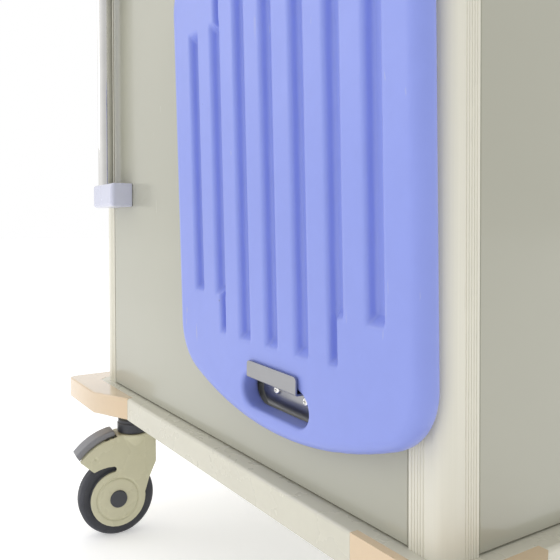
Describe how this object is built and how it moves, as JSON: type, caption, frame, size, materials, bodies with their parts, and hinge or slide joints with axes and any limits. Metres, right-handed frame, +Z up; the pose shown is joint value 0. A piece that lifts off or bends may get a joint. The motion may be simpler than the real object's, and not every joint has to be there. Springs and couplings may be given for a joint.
{
  "type": "hospital emergency trolley",
  "caption": "Wheeled emergency trolley with drawers, braked swivel casters, corner bumpers, a resuscitation board hung on the back and a telescopic drip pole.",
  "frame": {"origin": "on the floor under the middle of the trolley", "axes": "+Z up, +Y towards the back where the board hangs, -Y towards the drawers, +X towards the drip pole side"},
  "size_m": [0.8575, 0.6374, 1.3044],
  "materials": {
    "bumper": "satin",
    "post": "satin",
    "panel": "gloss",
    "caster_shell": "gloss",
    "pedal": "matte",
    "tyre": "matte",
    "hub": "matte",
    "collar": "satin",
    "axle": "satin",
    "runner": "satin",
    "drawer_front": "satin",
    "drawer_box": "satin",
    "rail": "satin",
    "frame": "satin",
    "pan": "satin",
    "top_frame": "satin",
    "worktop": "satin",
    "handle": "polished",
    "handle_bracket": "satin",
    "bracket": "satin",
    "screw": "polished",
    "board": "satin",
    "block": "satin",
    "tube": "polished",
    "rod": "polished",
    "pole_collar": "satin",
    "knob": "matte",
    "lock": "polished"
  },
  "bodies": {
    "root": {"back_panel": "panel", "base_frame": "frame", "base_rail": "rail", "board_brackets": "bracket", "bracket_screws": "screw", "bumper_back_left": "bumper", "bumper_back_right": "bumper", "bumper_front_left": "bumper", "bumper_front_right": "bumper", "caster_collars": "collar", "drawer_runners": "runner", "floor_pan": "pan", "handle_brackets": "handle_bracket", "iv_blocks": "block", "iv_outer_tube": "tube", "iv_pole_collar": "pole_collar", "left_panel": "panel", "post_back_left": "post", "post_back_right": "post", "post_front_left": "post", "post_front_right": "post", "push_handle": "handle", "right_panel": "panel", "top_frame": "top_frame", "worktop": "worktop"},
    "caster_back_right_swivel": {"caster_back_right_fork": "caster_shell", "caster_back_right_axle": "axle"},
    "caster_back_right_wheel": {"caster_back_right_tyre": "tyre", "caster_back_right_hub": "hub"},
    "caster_back_right_pedal": {"caster_back_right_brake_pedal": "pedal"},
    "caster_back_left_swivel": {"caster_back_left_fork": "caster_shell", "caster_back_left_axle": "axle"},
    "caster_back_left_wheel": {"caster_back_left_tyre": "tyre", "caster_back_left_hub": "hub"},
    "caster_back_left_pedal": {"caster_back_left_brake_pedal": "pedal"},
    "caster_front_right_swivel": {"caster_front_right_fork": "caster_shell", "caster_front_right_axle": "axle"},
    "caster_front_right_wheel": {"caster_front_right_tyre": "tyre", "caster_front_right_hub": "hub"},
    "caster_front_right_pedal": {"caster_front_right_brake_pedal": "pedal"},
    "caster_front_left_swivel": {"caster_front_left_fork": "caster_shell", "caster_front_left_axle": "axle"},
    "caster_front_left_wheel": {"caster_front_left_tyre": "tyre", "caster_front_left_hub": "hub"},
    "caster_front_left_pedal": {"caster_front_left_brake_pedal": "pedal"},
    "drawer_1": {"drawer_1_front": "drawer_front", "drawer_1_box": "drawer_box"},
    "drawer_2": {"drawer_2_front": "drawer_front", "drawer_2_box": "drawer_box"},
    "drawer_3": {"drawer_3_front": "drawer_front", "drawer_3_box": "drawer_box"},
    "drawer_4": {"drawer_4_front": "drawer_front", "drawer_4_box": "drawer_box"},
    "drawer_5": {"drawer_5_front": "drawer_front", "drawer_5_box": "drawer_box"},
    "cpr_board": {"cpr_board": "board"},
    "iv_rod": {"iv_inner_pole": "rod", "iv_hooks": "rod"},
    "iv_knob": {"iv_clamp_knob": "knob"},
    "lock_barrel": {"key_lock": "lock"}
  },
  "joints": [
    {"name": "caster_back_right_swivel", "type": "hinge", "parent": "root", "child": "caster_back_right_swivel", "pos_m": [0.309, 0.22, 0.16], "axis": [0, 0, 1], "continuous": true},
    {"name": "caster_back_right_roll", "type": "hinge", "parent": "caster_back_right_swivel", "child": "caster_back_right_wheel", "pos_m": [0.31266, 0.24978, 0.0625], "axis": [-0.9925, 0.1219, 0], "continuous": true},
    {"name": "caster_back_right_brake", "type": "hinge", "parent": "caster_back_right_swivel", "child": "caster_back_right_pedal", "pos_m": [0.31388, 0.2597, 0.159], "axis": [0.9925, -0.1219, 0], "range_deg": [0, 12]},
    {"name": "caster_back_left_swivel", "type": "hinge", "parent": "root", "child": "caster_back_left_swivel", "pos_m": [-0.309, 0.22, 0.16], "axis": [0, 0, 1], "continuous": true},
    {"name": "caster_back_left_roll", "type": "hinge", "parent": "caster_back_left_swivel", "child": "caster_back_left_wheel", "pos_m": [-0.31266, 0.24978, 0.0625], "axis": [-0.9925, -0.1219, 0], "continuous": true},
    {"name": "caster_back_left_brake", "type": "hinge", "parent": "caster_back_left_swivel", "child": "caster_back_left_pedal", "pos_m": [-0.31388, 0.2597, 0.159], "axis": [0.9925, 0.1219, 0], "range_deg": [0, 12]},
    {"name": "caster_front_right_swivel", "type": "hinge", "parent": "root", "child": "caster_front_right_swivel", "pos_m": [0.309, -0.22, 0.16], "axis": [0, 0, 1], "continuous": true},
    {"name": "caster_front_right_roll", "type": "hinge", "parent": "caster_front_right_swivel", "child": "caster_front_right_wheel", "pos_m": [0.31266, -0.24978, 0.0625], "axis": [0.9925, 0.1219, 0], "continuous": true},
    {"name": "caster_front_right_brake", "type": "hinge", "parent": "caster_front_right_swivel", "child": "caster_front_right_pedal", "pos_m": [0.31388, -0.2597, 0.159], "axis": [-0.9925, -0.1219, 0], "range_deg": [0, 12]},
    {"name": "caster_front_left_swivel", "type": "hinge", "parent": "root", "child": "caster_front_left_swivel", "pos_m": [-0.309, -0.22, 0.16], "axis": [0, 0, 1], "continuous": true},
    {"name": "caster_front_left_roll", "type": "hinge", "parent": "caster_front_left_swivel", "child": "caster_front_left_wheel", "pos_m": [-0.31266, -0.24978, 0.0625], "axis": [0.9925, -0.1219, 0], "continuous": true},
    {"name": "caster_front_left_brake", "type": "hinge", "parent": "caster_front_left_swivel", "child": "caster_front_left_pedal", "pos_m": [-0.31388, -0.2597, 0.159], "axis": [-0.9925, 0.1219, 0], "range_deg": [0, 12]},
    {"name": "drawer_1_slide", "type": "slide", "parent": "root", "child": "drawer_1", "axis": [0, -1, 0], "range_m": [0, 0.34]},
    {"name": "drawer_2_slide", "type": "slide", "parent": "root", "child": "drawer_2", "axis": [0, -1, 0], "range_m": [0, 0.34]},
    {"name": "drawer_3_slide", "type": "slide", "parent": "root", "child": "drawer_3", "axis": [0, -1, 0], "range_m": [0, 0.34]},
    {"name": "drawer_4_slide", "type": "slide", "parent": "root", "child": "drawer_4", "axis": [0, -1, 0], "range_m": [0, 0.34]},
    {"name": "drawer_5_slide", "type": "slide", "parent": "root", "child": "drawer_5", "axis": [0, -1, 0], "range_m": [0, 0.34]},
    {"name": "board_lift", "type": "slide", "parent": "root", "child": "cpr_board", "axis": [0, 0, 1], "range_m": [0, 0.012]},
    {"name": "iv_rod_slide", "type": "slide", "parent": "root", "child": "iv_rod", "axis": [0, 0, 1], "range_m": [0, 0.38]},
    {"name": "iv_knob_turn", "type": "hinge", "parent": "root", "child": "iv_knob", "pos_m": [0.324, 0.2588, 1.052], "axis": [-1, 0, 0], "range_deg": [0, 180]},
    {"name": "lock_turn", "type": "hinge", "parent": "root", "child": "lock_barrel", "pos_m": [0.285, -0.24, 0.94], "axis": [0, 1, 0], "range_deg": [0, 90]}
  ]
}
